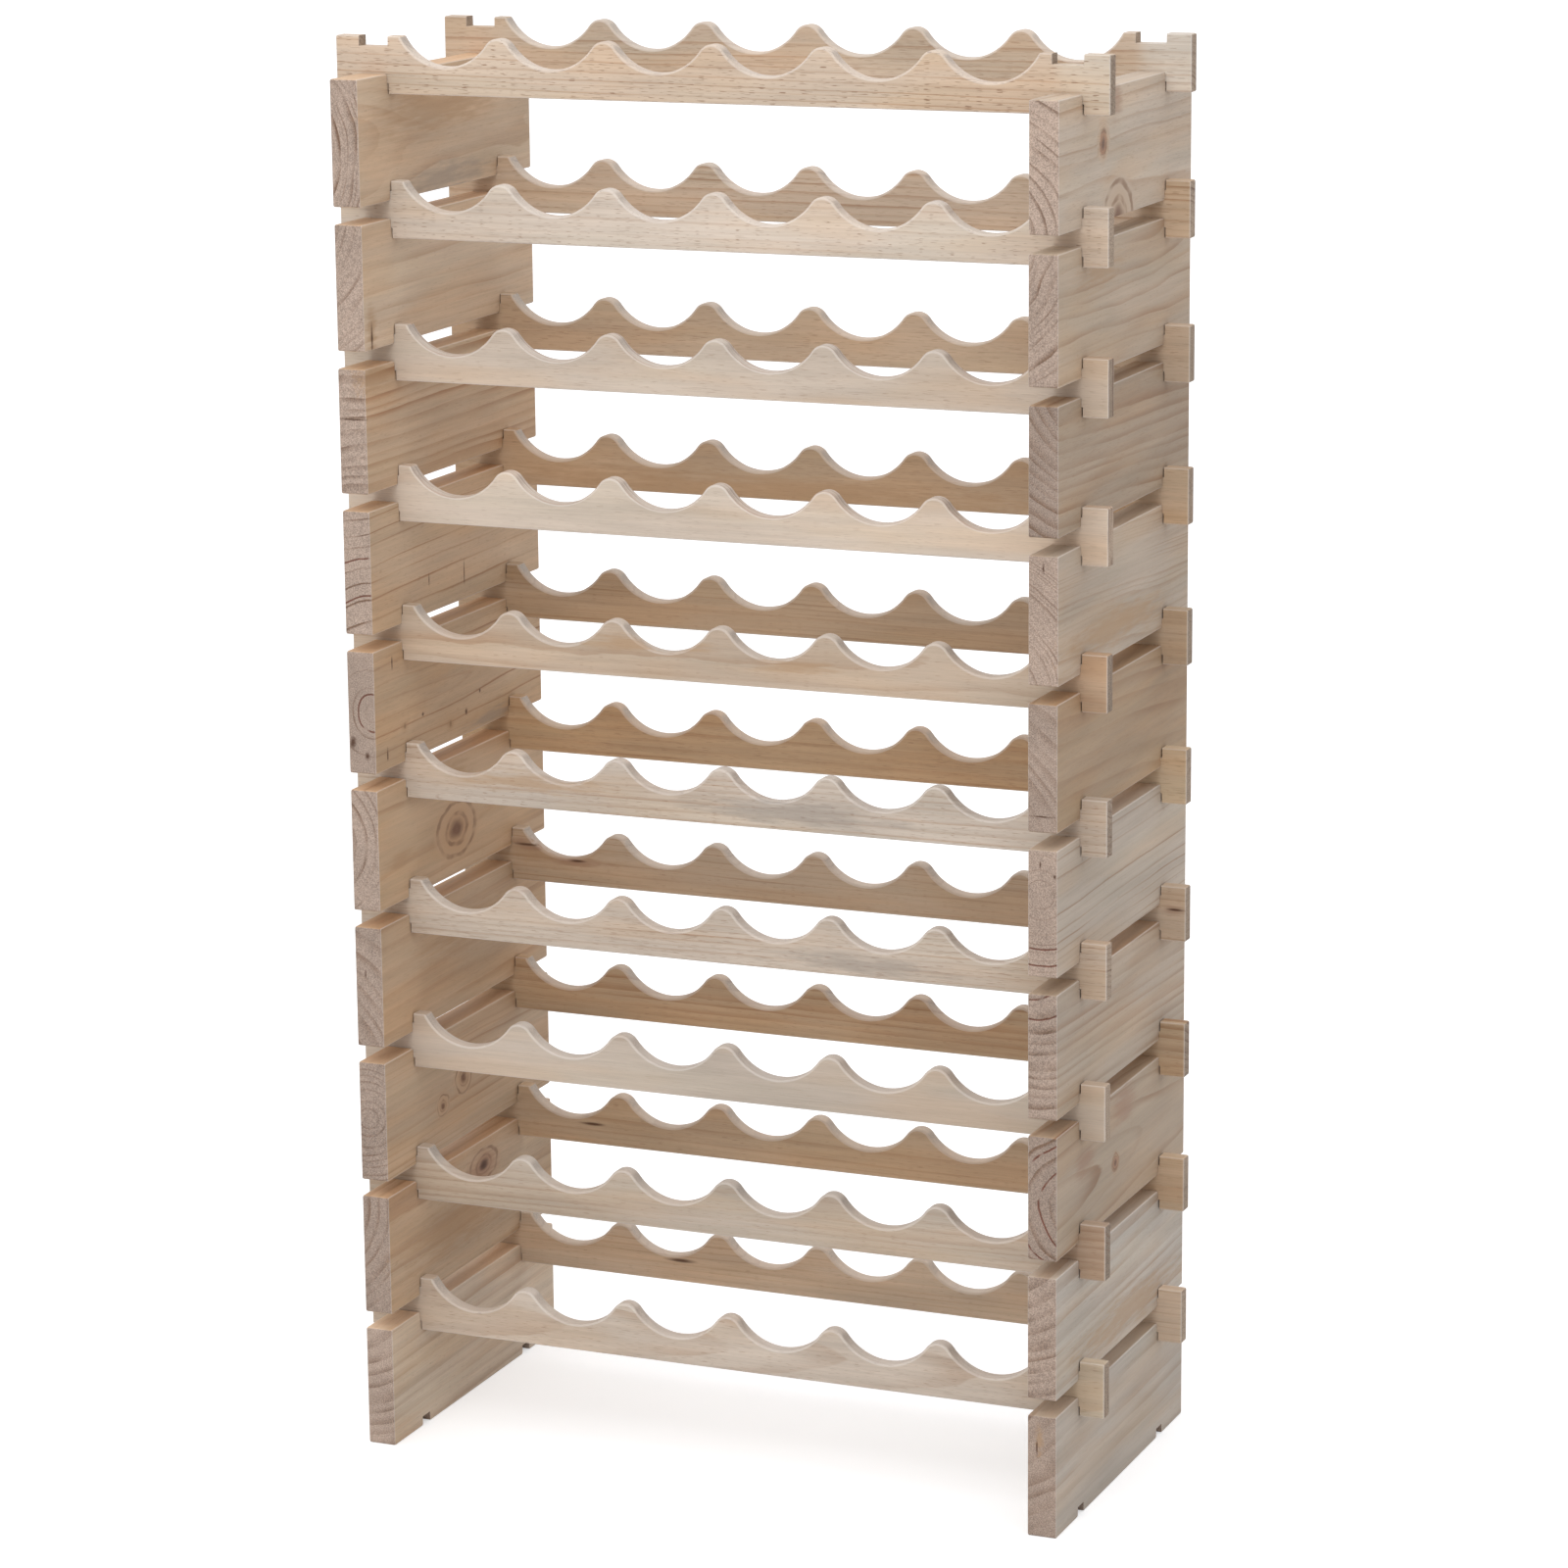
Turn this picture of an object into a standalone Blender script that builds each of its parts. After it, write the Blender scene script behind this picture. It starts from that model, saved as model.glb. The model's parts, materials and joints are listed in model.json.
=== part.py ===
"""Stacking pine wine rack for sixty bottles. Metres, +Z up, front towards -Y.

The rack is ten equal tiers. A tier is two side boards standing on edge, with a
scalloped front rail and a scalloped back rail lying across them. A board and a rail
that cross are notched half and half, and nothing else holds them, so every layer
lifts straight up off the layer below. The origin is on the floor, under the middle.
"""
import math

import bmesh
import bpy
from mathutils import Matrix

MM = 0.001

# Driving dimensions, in millimetres.
TIERS = 10
CRADLES_PER_RAIL = 6
CRADLE_PITCH = 86.5
CRADLE_DEPTH = 22.0
CRADLE_RADIUS = 42.0

BOARD_LENGTH = 295.0
BOARD_HEIGHT = 95.0
BOARD_THICKNESS = 22.5
BOARD_CENTRE_X = 275.25

RAIL_LENGTH = 615.0
RAIL_HEIGHT = 43.0
RAIL_THICKNESS = 12.0
RAIL_SETBACK = 50.0

# A crossing board and rail sink into each other by LAP, half from either side.
LAP = 15.0
SEAT_GAP = 0.3
BOARD_SIDE_PLAY = 0.75
RAIL_SIDE_PLAY = 0.5

# Segments in each arc of the scalloped edge.
CRADLE_SEGMENTS = 10
CREST_SEGMENTS = 5

# Sizes that follow from the driving dimensions.
NOTCH_DEPTH = (LAP + SEAT_GAP) / 2
RAIL_NOTCH_WIDTH = BOARD_THICKNESS + 2 * BOARD_SIDE_PLAY
BOARD_NOTCH_WIDTH = RAIL_THICKNESS + 2 * RAIL_SIDE_PLAY
RAIL_CENTRE_Y = BOARD_LENGTH / 2 - RAIL_SETBACK - RAIL_THICKNESS / 2
RAIL_BASE_ABOVE_BOARD_BASE = BOARD_HEIGHT - LAP
TIER_PITCH = BOARD_HEIGHT + RAIL_HEIGHT - 2 * LAP

# Two arcs that touch smoothly span half a pitch across and the cradle's depth up.
HALF_PITCH = CRADLE_PITCH / 2
CREST_RADIUS = (HALF_PITCH**2 + CRADLE_DEPTH**2) / (2 * CRADLE_DEPTH) - CRADLE_RADIUS
TURN_ANGLE = math.asin(HALF_PITCH / (CRADLE_RADIUS + CREST_RADIUS))
RIM_ANGLE = math.acos(1 - CRADLE_DEPTH / CRADLE_RADIUS)

# Linear base colours of planed, unfinished pine.
BOARD_COLOUR = (0.58, 0.46, 0.34)
RAIL_COLOUR = (0.74, 0.57, 0.42)
PINE_ROUGHNESS = 0.62


def clear_scene():
    for old in list(bpy.data.objects):
        bpy.data.objects.remove(old, do_unlink=True)


def pine(name, colour, tier):
    """Bare pine. Each plank is a little lighter or darker than its neighbours."""
    shade = 1 + 0.04 * math.sin(2.4 * tier + 3 * colour[0])
    material = bpy.data.materials.new(name + "_pine")
    material.use_nodes = True
    shader = material.node_tree.nodes["Principled BSDF"]
    shader.inputs["Base Color"].default_value = (*[shade * part for part in colour], 1)
    shader.inputs["Roughness"].default_value = PINE_ROUGHNESS
    shader.inputs["Metallic"].default_value = 0
    return material


def arc(centre, radius, start, end, segments):
    """Points on a circle in the outline's plane. Angles are from straight up, towards +u."""
    points = []
    for step in range(segments + 1):
        angle = start + (end - start) * step / segments
        points.append((centre[0] + radius * math.sin(angle), centre[1] + radius * math.cos(angle)))
    return points


def notch(centre, width, edge, floor):
    """The four corners of one notch, in the order of rising u."""
    low = centre - width / 2
    high = centre + width / 2
    return [(low, edge), (low, floor), (high, floor), (high, edge)]


def notched_edge(centre, width, edge, floor):
    """Two notches in one long edge, the same distance either side of the middle."""
    return notch(-centre, width, edge, floor) + notch(centre, width, edge, floor)


def scallops():
    """The waved part of a rail's top edge, in the order of rising u."""
    points = []
    for cradle in range(CRADLES_PER_RAIL):
        middle = (cradle - (CRADLES_PER_RAIL - 1) / 2) * CRADLE_PITCH
        first = cradle == 0
        last = cradle == CRADLES_PER_RAIL - 1
        left = RIM_ANGLE if first else TURN_ANGLE
        right = RIM_ANGLE if last else TURN_ANGLE
        seat = (middle, RAIL_HEIGHT - CRADLE_DEPTH + CRADLE_RADIUS)
        points += arc(seat, CRADLE_RADIUS, math.pi + left, math.pi - right, CRADLE_SEGMENTS)
        if not last:
            crest = (middle + HALF_PITCH, RAIL_HEIGHT - CREST_RADIUS)
            points += arc(crest, CREST_RADIUS, -TURN_ANGLE, TURN_ANGLE, CREST_SEGMENTS)[1:-1]
    return points


def board_outline():
    """A side board seen from its side: a plank with two notches in either long edge."""
    end = BOARD_LENGTH / 2
    bottom = notched_edge(RAIL_CENTRE_Y, BOARD_NOTCH_WIDTH, 0, NOTCH_DEPTH)
    top = notched_edge(RAIL_CENTRE_Y, BOARD_NOTCH_WIDTH, BOARD_HEIGHT, BOARD_HEIGHT - NOTCH_DEPTH)
    return [(-end, 0), *bottom, (end, 0), (end, BOARD_HEIGHT), *reversed(top), (-end, BOARD_HEIGHT)]


def rail_outline():
    """A rail seen from the front: notched for the boards, scalloped between them."""
    end = RAIL_LENGTH / 2
    floor = RAIL_HEIGHT - NOTCH_DEPTH
    bottom = notched_edge(BOARD_CENTRE_X, RAIL_NOTCH_WIDTH, 0, NOTCH_DEPTH)
    top = [
        *notch(-BOARD_CENTRE_X, RAIL_NOTCH_WIDTH, RAIL_HEIGHT, floor),
        *scallops(),
        *notch(BOARD_CENTRE_X, RAIL_NOTCH_WIDTH, RAIL_HEIGHT, floor),
    ]
    return [(-end, 0), *bottom, (end, 0), (end, RAIL_HEIGHT), *reversed(top), (-end, RAIL_HEIGHT)]


def cut_from_plank(name, outline, thickness, material):
    """An outline in the XZ plane, extruded through the plank's thickness along Y."""
    shape = bmesh.new()
    corners = [shape.verts.new((u * MM, -thickness / 2 * MM, v * MM)) for u, v in outline]
    face = shape.faces.new(corners)
    extruded = bmesh.ops.extrude_face_region(shape, geom=[face])
    moved = [item for item in extruded["geom"] if isinstance(item, bmesh.types.BMVert)]
    bmesh.ops.translate(shape, verts=moved, vec=(0, thickness * MM, 0))
    bmesh.ops.recalc_face_normals(shape, faces=shape.faces)
    mesh = bpy.data.meshes.new(name)
    shape.to_mesh(mesh)
    shape.free()
    mesh.materials.append(material)
    piece = bpy.data.objects.new(name, mesh)
    bpy.context.collection.objects.link(piece)
    return piece


def side_board(side, tier, layer):
    name = f"side_board_{side}_{tier:02d}"
    material = pine(name, BOARD_COLOUR, tier)
    board = cut_from_plank(name, board_outline(), BOARD_THICKNESS, material)
    board.data.transform(Matrix.Rotation(math.pi / 2, 4, "Z"))
    board.parent = layer
    board.location.x = BOARD_CENTRE_X * MM * (-1 if side == "left" else 1)


def rail(place, tier, layer):
    name = f"rail_{place}_{tier:02d}"
    material = pine(name, RAIL_COLOUR, tier)
    strip = cut_from_plank(name, rail_outline(), RAIL_THICKNESS, material)
    strip.parent = layer
    strip.location.y = RAIL_CENTRE_Y * MM * (-1 if place == "front" else 1)


def layer_on(name, below, rise):
    """An empty that carries one layer of the stack and lifts with all that stands on it."""
    layer = bpy.data.objects.new(name, None)
    bpy.context.collection.objects.link(layer)
    layer.parent = below
    layer.location.z = rise * MM
    return layer


def build_rack():
    rise_to_boards = 0
    below = None
    for tier in range(1, TIERS + 1):
        boards = layer_on(f"side_boards_{tier:02d}", below, rise_to_boards)
        side_board("left", tier, boards)
        side_board("right", tier, boards)
        rails = layer_on(f"rails_{tier:02d}", boards, RAIL_BASE_ABOVE_BOARD_BASE)
        rail("front", tier, rails)
        rail("back", tier, rails)
        rise_to_boards = TIER_PITCH - RAIL_BASE_ABOVE_BOARD_BASE
        below = rails


clear_scene()
build_rack()
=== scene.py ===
"""The looks of the stacking pine wine rack: forty planed pine pieces, a floor, light and a camera.

Every board and rail is cut again here from the same outline as in the frame, with finer
arcs and eased edges, and takes a pine that is worked out as solid wood: each piece has
its own place in a log, with growth rings round a pith and knots where branches grew.
Lengths are in millimetres until MM turns them into metres.
"""
import json
import math
import random

import bmesh
import bpy
from mathutils import Euler, Matrix, Vector


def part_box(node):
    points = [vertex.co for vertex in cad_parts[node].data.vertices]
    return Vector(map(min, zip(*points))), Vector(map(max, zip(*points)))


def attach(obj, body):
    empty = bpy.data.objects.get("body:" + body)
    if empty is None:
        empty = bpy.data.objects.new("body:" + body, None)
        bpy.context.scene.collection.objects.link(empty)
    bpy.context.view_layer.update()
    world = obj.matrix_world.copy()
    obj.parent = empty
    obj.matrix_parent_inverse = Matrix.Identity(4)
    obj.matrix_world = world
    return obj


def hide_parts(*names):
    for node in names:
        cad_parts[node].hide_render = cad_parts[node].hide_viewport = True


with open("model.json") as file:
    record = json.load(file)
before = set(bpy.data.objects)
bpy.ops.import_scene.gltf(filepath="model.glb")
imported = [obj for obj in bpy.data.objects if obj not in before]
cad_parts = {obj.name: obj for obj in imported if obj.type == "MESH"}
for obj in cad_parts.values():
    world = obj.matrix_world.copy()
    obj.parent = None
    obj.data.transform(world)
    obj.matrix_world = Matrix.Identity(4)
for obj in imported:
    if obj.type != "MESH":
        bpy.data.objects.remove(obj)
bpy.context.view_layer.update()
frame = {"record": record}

MM = 0.001
TIERS = 10
CRADLES_PER_RAIL = 6

# The cradles, as in the frame's outline.
CRADLE_PITCH = 86.5
CRADLE_DEPTH = 22.0
CRADLE_RADIUS = 42.0
SEAT_GAP = 0.3
BOARD_SIDE_PLAY = 0.75
RAIL_SIDE_PLAY = 0.5

# Segments in each arc of the scalloped edge, in a rounded corner and across an eased edge.
CRADLE_SEGMENTS = 24
CREST_SEGMENTS = 12
CORNER_SEGMENTS = 4
EASE_SEGMENTS = 3
SMOOTH_ANGLE = math.radians(32)

# How far each kind of edge is sanded round, and how round the corners are in outline.
WAVE_EASE = 1.7
RAIL_EASE = 1.1
BOARD_EASE = 1.1
BOARD_END_EASE = 0.45
CUT_EASE = 0.25
EAR_ROUND = 1.4
BOARD_ROUND = 1.5
NOTCH_ROUND = 1.8
RIM_ROUND = 2.2

# How much painted light the waves take, where the painted highlight on the middle of an eased edge is
# 1.
WAVE_PAINTED_LIGHT = 0.65

# The most that a piece's end may be trimmed and the piece may shift inside its notches.
END_TRIM = 0.9
SHIFT = 0.2


def size_of(node):
    low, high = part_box(node)
    return (high - low) / MM


def middle_of(node):
    """The middle of a node's underside, in metres."""
    low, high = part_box(node)
    return Vector(((low.x + high.x) / 2, (low.y + high.y) / 2, low.z))


BOARD_THICKNESS, BOARD_LENGTH, BOARD_HEIGHT = size_of("side_board_left_01")
RAIL_LENGTH, RAIL_THICKNESS, RAIL_HEIGHT = size_of("rail_front_01")
BOARD_CENTRE_X = middle_of("side_board_right_01").x / MM
RAIL_CENTRE_Y = middle_of("rail_back_01").y / MM
BOARD_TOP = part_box("side_board_left_01")[1].z / MM
LAP = BOARD_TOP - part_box("rail_front_01")[0].z / MM

# Sizes that follow from the ones above.
NOTCH_DEPTH = (LAP + SEAT_GAP) / 2
RAIL_NOTCH_WIDTH = BOARD_THICKNESS + 2 * BOARD_SIDE_PLAY
BOARD_NOTCH_WIDTH = RAIL_THICKNESS + 2 * RAIL_SIDE_PLAY
HALF_PITCH = CRADLE_PITCH / 2
CREST_RADIUS = (HALF_PITCH**2 + CRADLE_DEPTH**2) / (2 * CRADLE_DEPTH) - CRADLE_RADIUS
TURN_ANGLE = math.asin(HALF_PITCH / (CRADLE_RADIUS + CREST_RADIUS))
RIM_ANGLE = math.acos(1 - CRADLE_DEPTH / CRADLE_RADIUS)


# Outlines. A corner is (u, v, ease, round): ease is how far the edge that starts here is
# sanded, and round is the radius of the corner itself. Both are in millimetres.

def arc(centre, radius, start, end, segments):
    """Corners on a circle. Angles are from straight up, towards +u."""
    corners = []
    for step in range(segments + 1):
        angle = start + (end - start) * step / segments
        u = centre[0] + radius * math.sin(angle)
        v = centre[1] + radius * math.cos(angle)
        corners.append((u, v, WAVE_EASE, 0))
    return corners


def notch(centre, width, edge, floor, ease, radius=0):
    """The four corners of one notch, in the order in which the outline runs."""
    side = math.copysign(width / 2, floor - edge)
    return [
        (centre - side, edge, CUT_EASE, radius),
        (centre - side, floor, CUT_EASE, 0),
        (centre + side, floor, CUT_EASE, 0),
        (centre + side, edge, ease, radius),
    ]


def scallops():
    """The waved part of a rail's top edge, in the order of rising u."""
    corners = []
    for cradle in range(CRADLES_PER_RAIL):
        middle = (cradle - (CRADLES_PER_RAIL - 1) / 2) * CRADLE_PITCH
        first = cradle == 0
        last = cradle == CRADLES_PER_RAIL - 1
        left = RIM_ANGLE if first else TURN_ANGLE
        right = RIM_ANGLE if last else TURN_ANGLE
        seat = (middle, RAIL_HEIGHT - CRADLE_DEPTH + CRADLE_RADIUS)
        corners += arc(seat, CRADLE_RADIUS, math.pi + left, math.pi - right, CRADLE_SEGMENTS)
        if not last:
            crest = (middle + HALF_PITCH, RAIL_HEIGHT - CREST_RADIUS)
            corners += arc(crest, CREST_RADIUS, -TURN_ANGLE, TURN_ANGLE, CREST_SEGMENTS)[1:-1]
    return corners


def board_outline(front_trim, back_trim):
    """A side board seen from its side, anticlockwise from its bottom front corner."""
    front = -BOARD_LENGTH / 2 + front_trim
    back = BOARD_LENGTH / 2 - back_trim
    floor = BOARD_HEIGHT - NOTCH_DEPTH
    bottom = (BOARD_NOTCH_WIDTH, 0, NOTCH_DEPTH, BOARD_EASE, NOTCH_ROUND)
    top = (BOARD_NOTCH_WIDTH, BOARD_HEIGHT, floor, BOARD_EASE, NOTCH_ROUND)
    return [
        (front, 0, BOARD_EASE, BOARD_ROUND),
        *notch(-RAIL_CENTRE_Y, *bottom),
        *notch(RAIL_CENTRE_Y, *bottom),
        (back, 0, BOARD_END_EASE, BOARD_ROUND),
        (back, BOARD_HEIGHT, BOARD_EASE, BOARD_ROUND),
        *notch(RAIL_CENTRE_Y, *top),
        *notch(-RAIL_CENTRE_Y, *top),
        (front, BOARD_HEIGHT, BOARD_END_EASE, BOARD_ROUND),
    ]


def rail_outline(left_trim, right_trim):
    """A rail seen from the front, anticlockwise from its bottom left corner."""
    left = -RAIL_LENGTH / 2 + left_trim
    right = RAIL_LENGTH / 2 - right_trim
    floor = RAIL_HEIGHT - NOTCH_DEPTH
    waves = list(reversed(scallops()))
    waves[0] = (*waves[0][:2], WAVE_EASE, RIM_ROUND)
    waves[-1] = (*waves[-1][:2], RAIL_EASE, RIM_ROUND)
    return [
        (left, 0, RAIL_EASE, EAR_ROUND),
        *notch(-BOARD_CENTRE_X, RAIL_NOTCH_WIDTH, 0, NOTCH_DEPTH, RAIL_EASE),
        *notch(BOARD_CENTRE_X, RAIL_NOTCH_WIDTH, 0, NOTCH_DEPTH, RAIL_EASE),
        (right, 0, RAIL_EASE, EAR_ROUND),
        (right, RAIL_HEIGHT, RAIL_EASE, EAR_ROUND),
        *notch(BOARD_CENTRE_X, RAIL_NOTCH_WIDTH, RAIL_HEIGHT, floor, RAIL_EASE),
        *waves,
        *notch(-BOARD_CENTRE_X, RAIL_NOTCH_WIDTH, RAIL_HEIGHT, floor, RAIL_EASE),
        (left, RAIL_HEIGHT, RAIL_EASE, EAR_ROUND),
    ]


def rounded(outline):
    """The outline as (point, ease, centre), with every round corner turned into an arc."""
    points = []
    for index, (u, v, ease, radius) in enumerate(outline):
        here = Vector((u, v))
        if radius == 0:
            points.append((here, ease, None))
            continue
        back = (Vector(outline[index - 1][:2]) - here).normalized()
        ahead = (Vector(outline[(index + 1) % len(outline)][:2]) - here).normalized()
        half = back.angle(ahead) / 2
        centre = here + (back + ahead).normalized() * radius / math.sin(half)
        first = here + back * radius / math.tan(half) - centre
        last = here + ahead * radius / math.tan(half) - centre
        turn = first.angle_signed(last)
        before = outline[index - 1][2]
        for step in range(CORNER_SEGMENTS + 1):
            share = step / CORNER_SEGMENTS
            spoke = Matrix.Rotation(-turn * share, 2) @ first
            points.append((centre + spoke, before + (ease - before) * share, centre))
    return points


def inset_of(points, index, share):
    """Where an outline point goes when the outline moves in by that share of its ease."""
    here, ease, centre = points[index]
    if centre:
        return here + (centre - here).normalized() * ease * share
    before, ease_before, _ = points[index - 1]
    after = points[(index + 1) % len(points)][0]
    in_back = (here - before).normalized()
    in_ahead = (after - here).normalized()
    inward_back = Vector((-in_back.y, in_back.x))
    inward_ahead = Vector((-in_ahead.y, in_ahead.x))
    across = inward_back.x * inward_ahead.y - inward_back.y * inward_ahead.x
    move_back = ease_before * share
    move_ahead = ease * share
    if abs(across) < 0.02:
        return here + (inward_back + inward_ahead) * (move_back + move_ahead) / 4
    return here + Vector((
        (move_back * inward_ahead.y - move_ahead * inward_back.y) / across,
        (move_ahead * inward_back.x - move_back * inward_ahead.x) / across,
    ))


def section_rings(points, thickness):
    """Rings of corners from the front face round the sanded edges to the back face."""
    rings = []
    steps = [math.pi / 2 * step / EASE_SEGMENTS for step in range(EASE_SEGMENTS + 1)]
    for face, angles in ((-1, reversed(steps)), (1, steps)):
        for angle in angles:
            ring = []
            for index, (_, ease, _) in enumerate(points):
                place = inset_of(points, index, 1 - math.cos(angle))
                widest = max(ease, points[index - 1][1])
                depth = thickness / 2 - widest * (1 - math.sin(angle))
                ring.append(Vector((place.x, face * depth, place.y)))
            rings.append(ring)
    return rings


def solid_plank(name, outline, thickness):
    """A closed mesh of the outline through the plank's thickness, with sanded edges."""
    shape = bmesh.new()
    sanded = shape.loops.layers.float.new("sanded")
    points = rounded(outline)
    rings = [
        [shape.verts.new(corner * MM) for corner in ring]
        for ring in section_rings(points, thickness)
    ]
    middle = EASE_SEGMENTS / 2
    count = len(points)
    for level, (ring, following) in enumerate(zip(rings, rings[1:])):
        for index in range(count):
            after = (index + 1) % count
            face = shape.faces.new((ring[index], ring[after], following[after], following[index]))
            # The sanded layer carries painted light: a painted highlight along each eased edge,
            # strongest at its middle, and painted light over all of the waves.
            wave = WAVE_PAINTED_LIGHT if points[index][1] == WAVE_EASE else 0
            for loop in face.loops:
                at = level if loop.vert in (ring[index], ring[after]) else level + 1
                step = min(at, len(rings) - 1 - at)
                eased = 1 - abs(step - middle) / middle if level != EASE_SEGMENTS else 0
                loop[sanded] = max(eased, wave)
    shape.faces.new(reversed(rings[0]))
    shape.faces.new(rings[-1])
    bmesh.ops.recalc_face_normals(shape, faces=shape.faces)
    mesh = bpy.data.meshes.new(name)
    shape.to_mesh(mesh)
    shape.free()
    mesh.shade_smooth()
    mesh.set_sharp_from_angle(angle=SMOOTH_ANGLE)
    return mesh


# Pine: its colours, how each plank was sawn, and then the shader that draws it.

# Linear colours. First, pale and warm early wood. A plank lies between them, or past one.
BOARD_PALE = Vector((0.495, 0.42, 0.345))
BOARD_WARM = Vector((0.495, 0.37, 0.26))
RAIL_PALE = Vector((0.59, 0.50, 0.415))
RAIL_WARM = Vector((0.58, 0.45, 0.335))

# The late wood's share of the early wood's colour, and the dull colour of the cut ends.
LATE_SHARE = Vector((0.64, 0.47, 0.35))
BOARD_END = Vector((0.385, 0.29, 0.23))
RAIL_END = Vector((0.35, 0.265, 0.195))

# Painted light: the left boards' faces, seen from inside the rack where they lie in shade, are painted
# lighter by this much. Their ends are not.
LEFT_PAINTED_LIGHT = Vector((1.22, 1.16, 1.08))

# Painted light and shade on a rail's right end, where it stands out past the right board: the back
# rails' ends are painted lighter, as they stand out of the rack's shade into the light, and the front
# rails' ends a little darker and warmer.
EAR_PAINTED_LIGHT = {"front": (0.985, 0.955, 0.92), "back": (1.08, 1.11, 1.15)}

# Shifts of hue on the faces.
WARM_PATCH = (1.02, 0.955, 0.885, 1)
COOL_PATCH = (0.975, 0.985, 0.972, 1)
# Painted warm shade on faces that look up, such as the boards' tops in the shaded gaps under the board
# above.
WARM_TOP_SHADE = (1.07, 0.975, 0.89, 1)

# Details of the wood.
RESIN_CANAL = (0.24, 0.12, 0.06, 1)
END_LATE = (0.18, 0.11, 0.072, 1)
CRACK_RED = (0.13, 0.04, 0.022, 1)
# The colour of the painted highlight on eased edges and the painted light on the waves.
PAINTED_HIGHLIGHT_PALE = (0.80, 0.75, 0.70, 1)
KNOT_HALO = (0.98, 0.78, 0.62, 1)
KNOT_HEART = (0.12, 0.05, 0.026, 1)
KNOT_WOOD = (0.40, 0.21, 0.115, 1)
KNOT_RING = (0.16, 0.07, 0.035, 1)
KNOT_RIM = (0.14, 0.06, 0.03, 1)
EYE_GLOW = (0.96, 0.80, 0.66, 1)
EYE_RING = (0.23, 0.125, 0.07, 1)
EYE_CORE = (0.17, 0.08, 0.045, 1)

# How many radians the sine that draws an eye's rings turns from the middle to the edge.
EYE_RINGS = 15.0

# A distance from the pith that no plank reaches, and a share beyond any knot's halo.
NO_CRACK = -1000.0
NO_KNOT = 9.0

# What a mark looks like: its linear colour, how much of the wood it covers, and how far
# the grain frays its outline.
MARKS = {
    "resin": ((0.075, 0.03, 0.014), 0.9, 0.9),
    "red": ((0.32, 0.17, 0.11), 0.5, 2.0),
    "tan": ((0.42, 0.26, 0.14), 0.6, 2.2),
    "grey": ((0.27, 0.23, 0.195), 0.5, 2.4),
}

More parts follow.
